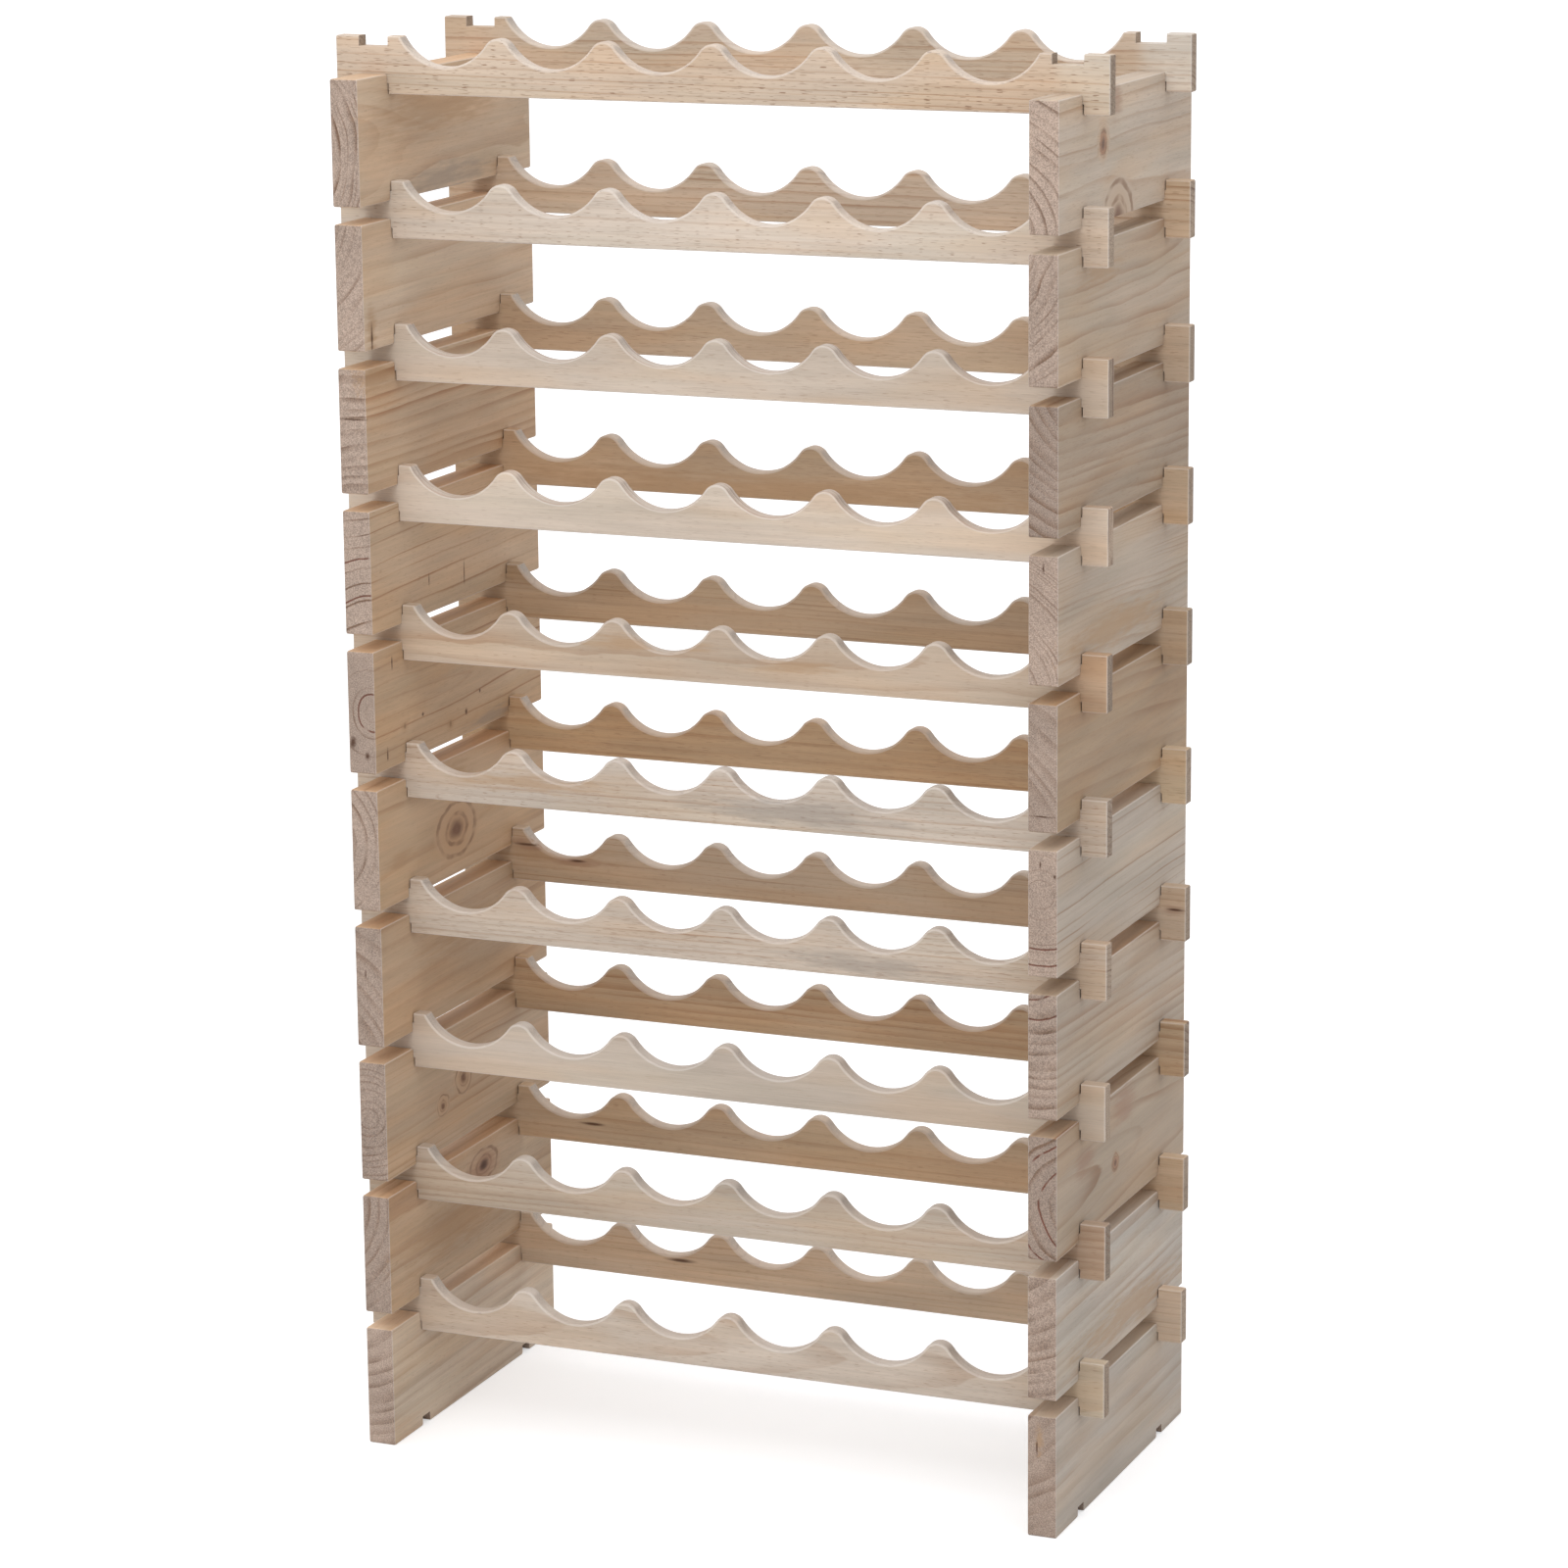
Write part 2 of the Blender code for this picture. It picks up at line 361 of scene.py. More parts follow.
# How each board was sawn. The pith is where the middle of the tree lay, as (towards the
# hidden face, up) from the middle of the board's bottom edge, and lean is how far it moves
# in a millimetre along the board. Line is the share of a ring that stays pale. Cracks are
# distances from the pith. Knots are (along, up, radius, slant) on the face that shows,
# eyes are (middle, half sizes) and marks are (kind, middle, half sizes).
BOARDS = {
    "right_10": dict(
        pith=(52, 0), lean=(0.02, 0.03), ring_width=8.5, line=0.6, contrast=0.55,
        shade=1.1, warm=0.3, top_shade_warmth=0.0,
        knots=[(-53, 56, 7, 0.1)],
        eyes=[((-20, -11, -2), (34, 30, 29))],
        marks=[("red", (-26, -11, 84), (15, 14, 16)), ("red", (-72, -11, 90), (20, 12, 6))],
    ),
    "right_09": dict(
        pith=(72, 106), lean=(0.03, -0.03), waviness=13, ring_width=6.0, line=0.5, contrast=0.55,
        shade=0.98, warm=0.7, end_shade=0.96, end_contrast=1.7, top_shade_warmth=0.0,
        marks=[("tan", (-60, -11, 74), (50, 10, 14))],
    ),
    "right_08": dict(
        pith=(-46, 108), lean=(0.0, -0.04), ring_width=8, line=0.3, contrast=0.65,
        shade=0.8, warm=0.9, end_shade=0.96, end_contrast=1.3,
    ),
    "right_07": dict(
        pith=(66, -26), lean=(0.0, -0.05), ring_width=3.4, line=0.5, contrast=0.5,
        shade=0.955, warm=0.4, end_shade=1.06, top_shade_warmth=0.2,
        marks=[("resin", (-147, 0, 86), (9, 1.1, 4)), ("tan", (-20, -11, 22), (120, 12, 16))],
    ),
    "right_06": dict(
        pith=(70, -35), lean=(0.0, -0.08), ring_width=9.5, line=0.3, contrast=0.45,
        shade=0.79, warm=1.4, end_shade=1.14,
        marks=[("resin", (-147, 0, 12), (6, 11, 0.8))],
    ),
    "right_05": dict(
        pith=(2, 62), lean=(0.0, 0.0), ring_width=6.2, line=0.75, contrast=0.8,
        shade=0.96, warm=0.15, end_contrast=0.5,
        cracks=(41, 53),
        marks=[("resin", (-147, 2, 84), (5, 0.9, 3.5)), ("resin", (-147, -9, 76), (5, 1.2, 1.8))],
    ),
    "right_04": dict(
        pith=(9, 112), lean=(0.0, -0.03), ring_width=8.5, line=0.3, contrast=0.55,
        shade=0.905, warm=0.45, end_shade=1.07,
        cracks=(25, 41),
    ),
    "right_03": dict(
        pith=(-42, 42), lean=(-0.06, 0.0), ring_width=9.5, line=0.66, contrast=0.8,
        shade=0.85, warm=0.75, end_shade=0.91,
        cracks=(36, 52),
        knots=[(-16, 39, 5, 0.2)],
        marks=[("red", (5, -11, 80), (26, 14, 17)), ("red", (-84, -11, 60), (24, 14, 12))],
    ),
    "right_02": dict(
        pith=(30, 130), lean=(0.0, 0.02), ring_width=10, line=0.25, contrast=0.55,
        shade=1.02, warm=-0.3,
        marks=[("tan", (20, -11, 20), (130, 12, 18))],
    ),
    "right_01": dict(
        pith=(62, 150), lean=(0.0, 0.01), ring_width=13, line=0.25, contrast=0.45,
        shade=0.955, warm=-0.15, end_shade=0.96,
        marks=[("tan", (-147, 2, 76), (7, 3.4, 15)), ("resin", (-147, 4, 70), (5, 0.9, 7))],
    ),
    "left_10": dict(
        pith=(88, 42), lean=(0.03, 0.01), waviness=14, ring_width=4.2, line=0.45, contrast=0.42,
        shade=0.99, warm=0.55, end_shade=0.97, end_contrast=3.4,
        marks=[("tan", (-10, -11, 64), (120, 14, 22)), ("grey", (0, -11, 8), (70, 12, 14))],
    ),
    "left_09": dict(
        pith=(80, 110), lean=(0.0, 0.01), ring_width=8.0, line=0.5, contrast=0.4,
        shade=1.02, warm=0.35,
        marks=[("tan", (-134, -11, 16), (9, 9, 22)), ("resin", (-134, -11, 9), (2.0, 4, 13))],
    ),
    "left_08": dict(
        pith=(-12, -70), lean=(0.0, 0.0), ring_width=8.5, line=0.3, contrast=0.85,
        shade=0.95, warm=0.85, end_shade=1.1, end_contrast=0.9,
        marks=[("tan", (-133, -11, 88), (34, 14, 14)), ("resin", (-147, 0, 57), (5, 14, 0.8))],
    ),
    "left_07": dict(
        pith=(-20, -48), lean=(0.0, 0.02), ring_width=13, line=0.84, contrast=1.1,
        shade=0.93, warm=0.85, end_shade=1.07,
        cracks=(82, 111),
        marks=[("resin", (11, -11, 21), (1.0, 4, 12)), ("resin", (-50, -11, 26), (0.9, 3, 6))],
    ),
    "left_06": dict(
        pith=(-18, 48), lean=(-0.05, 0.01), ring_width=11, line=0.8, contrast=1.0,
        shade=0.89, warm=1.1, end_shade=1.03, end_contrast=1.0,
        cracks=(14, NO_CRACK),
        marks=[
            ("resin", (-97, -11, 28), (2.4, 4, 2.6)), ("resin", (-66, -11, 31), (2.2, 4, 2.2)),
            ("resin", (-19, -11, 14), (2.4, 4, 3)), ("resin", (9, -11, 18), (2.4, 4, 2.8)),
            ("resin", (-116, -11, 81), (1.3, 4, 6)), ("resin", (-127, -11, 12), (1.6, 4, 6)),
            ("resin", (34, -11, 30), (2, 4, 2)), ("tan", (-19, -11, 14), (8, 6, 5)),
            ("tan", (-97, -11, 28), (8, 6, 5)), ("resin", (-147, 8, 24), (6, 3.2, 6)),
            ("resin", (-147, -4, 14), (6, 2.4, 4)), ("grey", (60, -11, 6), (60, 12, 6)),
        ],
    ),
    "left_05": dict(
        pith=(50, 52), lean=(0.02, 0.0), ring_width=8.0, line=0.6, contrast=0.5,
        shade=0.93, warm=1.1, end_shade=1.05,
        eyes=[((-13, -11, 36), (35, 40, 23))],
        marks=[("tan", (-110, -11, 34), (30, 8, 8)), ("tan", (-14, -11, 78), (36, 12, 14))],
    ),
    "left_04": dict(
        pith=(85, -40), lean=(0.0, 0.03), ring_width=11, line=0.4, contrast=0.5,
        shade=0.86, warm=1.0,
        marks=[("resin", (-147, 3, 58), (4, 0.8, 4.5)), ("tan", (30, -11, 60), (110, 12, 18))],
    ),
    "left_03": dict(
        pith=(8, 50), lean=(0.02, 0.0), ring_width=5.0, line=0.6, contrast=0.55,
        shade=0.89, warm=0.8, end_shade=0.97, end_contrast=1.6,
        eyes=[((-12, -11, 48), (15, 20, 13)), ((-49, -11, 35), (11, 16, 9))],
    ),
    "left_02": dict(
        pith=(60, 90), lean=(0.0, 0.02), ring_width=9.0, line=0.5, contrast=0.5,
        shade=0.87, warm=0.8, end_shade=0.95,
        eyes=[((21, -11, 74), (26, 30, 14))],
        marks=[
            ("red", (21, -11, 72), (34, 12, 16)), ("resin", (21, -11, 74), (9, 6, 5)),
            ("tan", (-20, -11, 40), (110, 12, 22)),
        ],
    ),
    "left_01": dict(
        pith=(28, 125), lean=(0.0, 0.02), ring_width=10, line=0.3, contrast=0.5,
        shade=1.08, warm=-0.05, end_shade=0.98,
    ),
}

# What is given for the rails, in the same terms. A pith far behind the face leaves the face plain and
# draws the rings as lines along the top of the waves. The front rails' shade runs darker towards the
# lower tiers: painted shade. The back rails' shade and warm values paint them darker and warmer:
# painted shade and warm bounce light from inside the rack. The ear values are painted light and shade
# on the rails' right ends.
RAILS = {
    "front_10": dict(
        ring_width=4.5, contrast=0.6, dashes=1.2,
        shade=1.04, warm=0.8, end_shade=0.85, ear_light=(1.06, 1.14, 1.2),
    ),
    "front_09": dict(ring_width=6.0, contrast=0.3, dashes=0.9, shade=1.06, warm=0.1),
    "front_08": dict(
        pith=(399, 22), lean=(0, 0), waviness=0.3, ring_width=3.9, line=0.55, contrast=2.0, dashes=0.5,
        shade=0.97, warm=0.3, end_shade=0.9,
    ),
    "front_07": dict(
        pith=(402, 22), lean=(0, 0), waviness=0.3, ring_width=3.0, line=0.45, contrast=2.4, dashes=0.3,
        shade=1.03, warm=0.25, end_shade=1.25,
    ),
    "front_06": dict(
        pith=(70, 30), ring_width=5.0, contrast=0.4, dashes=0.4,
        shade=0.91, warm=0.85, end_shade=0.86, ear_light=(0.98, 0.86, 0.75),
        marks=[("tan", (-60, -6, 26), (60, 8, 7)), ("tan", (60, -6, 18), (40, 8, 6))],
    ),
    "front_05": dict(
        ring_width=5.0, contrast=0.5, dashes=0.8,
        shade=0.92, warm=0.1, end_shade=0.92,
        marks=[("grey", (60, -6, 14), (90, 12, 11)), ("tan", (-160, -6, 20), (70, 8, 9))],
    ),
    "front_04": dict(
        ring_width=4.4, contrast=0.7, dashes=0.6,
        shade=0.9, warm=0.3, end_shade=1.08,
        marks=[("grey", (110, -6, 10), (70, 12, 10))],
    ),
    "front_03": dict(
        pith=(130, 30), lean=(0, 0), waviness=1.5, ring_width=5.0, line=0.75, contrast=1.0, dashes=0.2,
        shade=0.875, warm=0.2, end_shade=1.14,
    ),
    "front_02": dict(
        ring_width=5.4, line=0.4, contrast=0.45, dashes=0.5,
        shade=0.82, warm=0.35, end_shade=0.78, ear_light=(0.84, 0.75, 0.68),
    ),
    "front_01": dict(
        pith=(34, 20), lean=(0.06, 0.01), ring_width=6.5, contrast=0.42, dashes=0.6,
        shade=0.96, warm=0.2, ear_light=(1.06, 1.05, 0.97),
    ),
    "back_10": dict(shade=0.965, warm=0.95, ear_light=(1.1, 1.24, 1.4)),
    "back_09": dict(contrast=0.7, shade=0.99, warm=1.0, ear_light=(1.02, 0.97, 0.89)),
    "back_08": dict(
        pith=(120, 18), lean=(0, 0), waviness=1.5, ring_width=3.8, line=0.65, contrast=0.8,
        shade=0.945, warm=1.5,
    ),
    "back_07": dict(
        pith=(405.4, 25), lean=(0, 0), waviness=0.3, ring_width=3.4, line=0.5, contrast=2.2,
        shade=0.9, warm=1.8,
        marks=[("tan", (-40, -6, 4), (330, 20, 17))],
    ),
    "back_06": dict(shade=0.805, warm=1.8),
    "back_05": dict(ring_width=7, line=0.4, shade=0.93, warm=2.3, ear_light=(1.2, 1.34, 1.5)),
    "back_04": dict(
        shade=0.88, warm=1.4,
        marks=[
            ("tan", (-225, -6, 25), (60, 8, 12)), ("red", (-255, -6, 33), (14, 6, 3.4)),
            ("red", (-245, -6, 28), (14, 6, 3)), ("resin", (-250, -6, 30), (13, 5, 1.5)),
            ("red", (-206, -6, 19), (26, 6, 4)), ("resin", (-206, -6, 20), (9, 5, 1.5)),
            # The red and resin marks at the right ear are painted shade in the shaded joint where the
            # ear meets the boards.
            ("red", (297, -6, 24), (12, 9, 5)), ("resin", (299, -6, 25), (9, 9, 1.4)),
        ],
    ),
    "back_03": dict(ring_width=7, line=0.35, contrast=0.8, shade=0.865, warm=2.1),
    "back_02": dict(
        shade=0.92, warm=1.85,
        marks=[("resin", (-196, -6, 17), (12, 5, 1.6))],
    ),
    "back_01": dict(
        shade=1.02, warm=1.3,
        marks=[("resin", (-120, -6, 18), (14, 5, 2))],
    ),
}


# Pine. A piece's own coordinates run along the grain (X), through the thickness (Y) and
# up (Z), and the shader works in millimetres from there.

class Graph:
    """A node tree written as calls: each call adds a node and gives back its output."""

    def __init__(self, tree):
        self.tree = tree

    def add(self, kind, inputs, **settings):
        node = self.tree.nodes.new(kind)
        for name, value in settings.items():
            setattr(node, name, value)
        self.feed(node, inputs)
        return node

    def feed(self, node, inputs):
        """Links or sets each input socket that is named."""
        for socket, value in inputs.items():
            if isinstance(value, bpy.types.NodeSocket):
                self.tree.links.new(value, node.inputs[socket])
            else:
                node.inputs[socket].default_value = value

    def group(self, tree, inputs):
        node = self.tree.nodes.new("ShaderNodeGroup")
        node.node_tree = tree
        self.feed(node, inputs)
        return node.outputs

    def math(self, operation, *values):
        return self.add("ShaderNodeMath", dict(enumerate(values)), operation=operation).outputs[0]

    def vector(self, operation, *values):
        node = self.add("ShaderNodeVectorMath", dict(enumerate(values)), operation=operation)
        number = operation in ("LENGTH", "DOT_PRODUCT")
        return node.outputs["Value" if number else "Vector"]

    def split(self, vector):
        return self.add("ShaderNodeSeparateXYZ", {0: vector}).outputs

    def join(self, x, y, z):
        return self.add("ShaderNodeCombineXYZ", {0: x, 1: y, 2: z}).outputs[0]

    def ramp(self, value, low, high, out_low=0.0, out_high=1.0):
        """A smooth step from out_low to out_high as value goes from low to high."""
        inputs = {
            "Value": value, "From Min": low, "From Max": high, "To Min": out_low, "To Max": out_high,
        }
        node = self.add("ShaderNodeMapRange", inputs, interpolation_type="SMOOTHSTEP")
        return node.outputs["Result"]

    def noise(self, point, along, across, detail=2.0, roughness=0.5):
        """Noise whose marks are about that many millimetres long and wide."""
        scaled = self.vector("MULTIPLY", point, (1 / along, 1 / across, 1 / across))
        inputs = {"Vector": scaled, "Scale": 1.0, "Detail": detail, "Roughness": roughness}
        return self.add("ShaderNodeTexNoise", inputs).outputs

    def wobble(self, point, along, across, size, detail=2.0):
        """A smooth random shift, of up to about half of size either way."""
        noise = self.noise(point, along, across, detail)["Color"]
        return self.vector("MULTIPLY", self.vector("SUBTRACT", noise, (0.5, 0.5, 0.5)), size)

    def tint(self, factor, first, second, blend="MIX"):
        inputs = {0: factor, 6: first, 7: second}
        node = self.add("ShaderNodeMix", inputs, data_type="RGBA", blend_type=blend)
        return node.outputs[2]


def new_group(name, inputs, outputs):
    """An empty node group with its sockets, the graph inside it and what comes in."""
    kinds = {"value": "NodeSocketFloat", "vector": "NodeSocketVector", "colour": "NodeSocketColor"}
    group = bpy.data.node_groups.new(name, "ShaderNodeTree")
    for label, kind in inputs.items():
        group.interface.new_socket(name=label, in_out="INPUT", socket_type=kinds[kind])
    for label, kind in outputs.items():
        group.interface.new_socket(name=label, in_out="OUTPUT", socket_type=kinds[kind])
    entry = group.nodes.new("NodeGroupInput").outputs
    return group, Graph(group), entry


def log_group():
    """How far a point of the plank lay from the pith of its tree, in millimetres."""
    inputs = {"Point": "vector", "Pith": "vector", "Lean": "vector", "Waviness": "value"}
    group, graph, entry = new_group("pine_log", inputs, {"Distance": "value"})
    size = graph.join(0.0, entry["Waviness"], entry["Waviness"])
    bend = graph.wobble(entry["Point"], 170, 45, size, 1.0)
    tremble = graph.wobble(entry["Point"], 38, 7, (0.0, 1.1, 1.1))
    point = graph.vector("ADD", graph.vector("ADD", entry["Point"], bend), tremble)
    along = graph.split(point)[0]
    drift = graph.vector("MULTIPLY", entry["Lean"], graph.join(along, along, along))
    off_pith = graph.vector("SUBTRACT", graph.vector("SUBTRACT", point, entry["Pith"]), drift)
    across_log = graph.vector("MULTIPLY", off_pith, (0.0, 1.0, 1.0))
    graph.add("NodeGroupOutput", {"Distance": graph.vector("LENGTH", across_log)})
    return group


def knot_group():
    """Lets a branch's rings take over from the trunk's, so that the grain runs round the knot."""
    inputs = {
        "Point": "vector", "Distance": "value", "Start": "vector", "Direction": "vector",
        "Growth": "value",
    }
    outputs = {"Distance": "value", "Share": "value"}
    group, graph, entry = new_group("pine_knot", inputs, outputs)
    tremble = graph.wobble(entry["Point"], 14, 8, (6.0, 5.0, 5.0))
    offset = graph.vector("ADD", graph.vector("SUBTRACT", entry["Point"], entry["Start"]), tremble)
    along = graph.vector("DOT_PRODUCT", offset, entry["Direction"])
    foot = graph.vector("MULTIPLY", entry["Direction"], graph.join(along, along, along))
    from_axis = graph.vector("LENGTH", graph.vector("SUBTRACT", offset, foot))
    branch = graph.math("DIVIDE", from_axis, entry["Growth"])
    blend = graph.math("MULTIPLY", entry["Distance"], 1.4)
    joined = graph.math("SMOOTH_MIN", entry["Distance"], branch, blend)
    share = graph.math("DIVIDE", branch, entry["Distance"])
    graph.add("NodeGroupOutput", {"Distance": joined, "Share": share})
    return group


def mark_group():
    """A spot that the grain frays: a resin pocket, a red streak, a tan patch or a grey stain."""
    inputs = {
        "Point": "vector", "Place": "vector", "Size": "vector", "Color": "colour",
        "Mark": "colour", "Strength": "value", "Fray": "value",
    }
    group, graph, entry = new_group("pine_mark", inputs, {"Color": "colour"})
    offset = graph.vector("SUBTRACT", entry["Point"], entry["Place"])
    scaled = graph.vector("DIVIDE", offset, entry["Size"])
    streaks = graph.noise(entry["Point"], 34, 3.6, 3.0, 0.6)["Fac"]
    streaks = graph.math("MULTIPLY", graph.math("SUBTRACT", streaks, 0.5), entry["Fray"])
    reach = graph.math("ADD", graph.vector("LENGTH", scaled), streaks)
    inside = graph.math("MULTIPLY", graph.ramp(reach, 1.2, 0.2), entry["Strength"])
    graph.add("NodeGroupOutput", {"Color": graph.tint(inside, entry["Color"], entry["Mark"])})
    return group


def eye_group():
    """A knot met face on: rings round a brown core, with the trunk's own rings kept clear of it."""
    inputs = {
        "Point": "vector", "Place": "vector", "Size": "vector", "Color": "colour", "Base": "colour",
    }
    group, graph, entry = new_group("pine_eye", inputs, {"Color": "colour"})
    tremble = graph.wobble(entry["Point"], 16, 9, (7.0, 5.0, 5.0))
    offset = graph.vector("ADD", graph.vector("SUBTRACT", entry["Point"], entry["Place"]), tremble)
    reach = graph.vector("LENGTH", graph.vector("DIVIDE", offset, entry["Size"]))
    colour = graph.tint(graph.ramp(reach, 1.25, 0.95, 0.0, 0.85), entry["Color"], entry["Base"])
    colour = graph.tint(graph.ramp(reach, 1.5, 0.4, 0.0, 0.55), colour, EYE_GLOW, "MULTIPLY")
    swell = graph.math("SINE", graph.math("MULTIPLY", reach, EYE_RINGS))
    lines = graph.math("MULTIPLY", graph.ramp(swell, 0.1, 0.95), graph.ramp(reach, 1.2, 1.0))
    patchy = graph.ramp(graph.noise(entry["Point"], 15, 10, 1.0)["Fac"], 0.3, 0.65, 0.12, 0.7)
    colour = graph.tint(graph.math("MULTIPLY", lines, patchy), colour, EYE_RING)
    colour = graph.tint(graph.ramp(reach, 0.5, 0.12, 0.0, 0.85), colour, EYE_CORE)
    graph.add("NodeGroupOutput", {"Color": colour})
    return group


def late_wood(graph, entry):
    """Growth rings: pale early wood that darkens into a band or a line of late wood."""
    count = graph.math("DIVIDE", entry["Distance"], entry["Ring Width"])
    inputs = {"W": count, "Scale": 0.37, "Detail": 1.0}
    uneven = graph.add("ShaderNodeTexNoise", inputs, noise_dimensions="1D").outputs["Fac"]
    ring = graph.math("ADD", count, graph.math("MULTIPLY", uneven, 2.0))
    number = {"W": graph.math("FLOOR", ring)}
    dice = graph.add("ShaderNodeTexWhiteNoise", number, noise_dimensions="1D").outputs["Value"]
    strength = graph.math("MULTIPLY_ADD", dice, 0.8, 0.2)
    phase = graph.math("FRACT", ring)
    band = graph.math("MULTIPLY", graph.ramp(phase, entry["Line"], 0.95), graph.ramp(phase, 1.0, 0.95))
    late = graph.math("MULTIPLY", graph.math("MULTIPLY", band, strength), entry["Contrast"])
    veil = graph.ramp(graph.noise(entry["Point"], 140, 26)["Fac"], 0.32, 0.66, 0.3, 1.3)
    return graph.math("MULTIPLY", late, veil)


def drying_cracks(graph, entry, end_grain):
    """Cracks that follow a ring, seen in the end grain."""
    cracks = 0.0
    for name in ("Crack One", "Crack Two"):
        away = graph.math("ABSOLUTE", graph.math("SUBTRACT", entry["Distance"], entry[name]))
        cracks = graph.math("MAXIMUM", graph.ramp(away, 1.0, 0.25), cracks)
    broken = graph.ramp(graph.noise(entry["Point"], 900, 13, 1.0)["Fac"], 0.34, 0.46)
    return graph.math("MULTIPLY", graph.math("MULTIPLY", cracks, end_grain), broken)


def with_knot(graph, entry, colour, late, inside):
    """A knot: a red-brown halo, a broken dark rim and a brown core with rings of its own."""
    share = entry["Knot"]
    colour = graph.tint(graph.ramp(share, 2.3, 1.0, 0.0, 0.5), colour, KNOT_HALO, "MULTIPLY")
    core = graph.tint(graph.ramp(share, 0.15, 0.8), KNOT_HEART, KNOT_WOOD)
    core = graph.tint(graph.math("MULTIPLY", late, 0.9), core, KNOT_RING)
    colour = graph.tint(graph.math("MULTIPLY", inside, 0.85), colour, core)
    rim = graph.math("MULTIPLY", graph.ramp(share, 0.72, 0.95), graph.ramp(share, 1.25, 1.0))
    broken = graph.ramp(graph.noise(entry["Point"], 12, 6)["Fac"], 0.35, 0.6)
    rim = graph.math("MULTIPLY", graph.math("MULTIPLY", rim, broken), 0.55)
    return graph.tint(rim, colour, KNOT_RIM)


def lightness(graph, point, fibre, speckle, end_grain):
    """How the plank's lightness wanders, from broad patches to strands, fibres and pores."""
    broad = graph.noise(point, 190, 40)["Fac"]
    strand = graph.noise(point, 130, 4.5)["Fac"]
    light = graph.ramp(broad, 0.28, 0.72, 0.91, 1.09)
    light = graph.math("ADD", light, graph.ramp(fibre, 0.2, 0.8, -0.07, 0.07))
    light = graph.math("ADD", light, graph.ramp(strand, 0.25, 0.75, -0.05, 0.05))
    sparkle = graph.math("MULTIPLY", graph.ramp(speckle, 0.34, 0.66, -0.26, 0.40), end_grain)
    light = graph.math("ADD", light, sparkle)
    return graph.join(light, light, light)


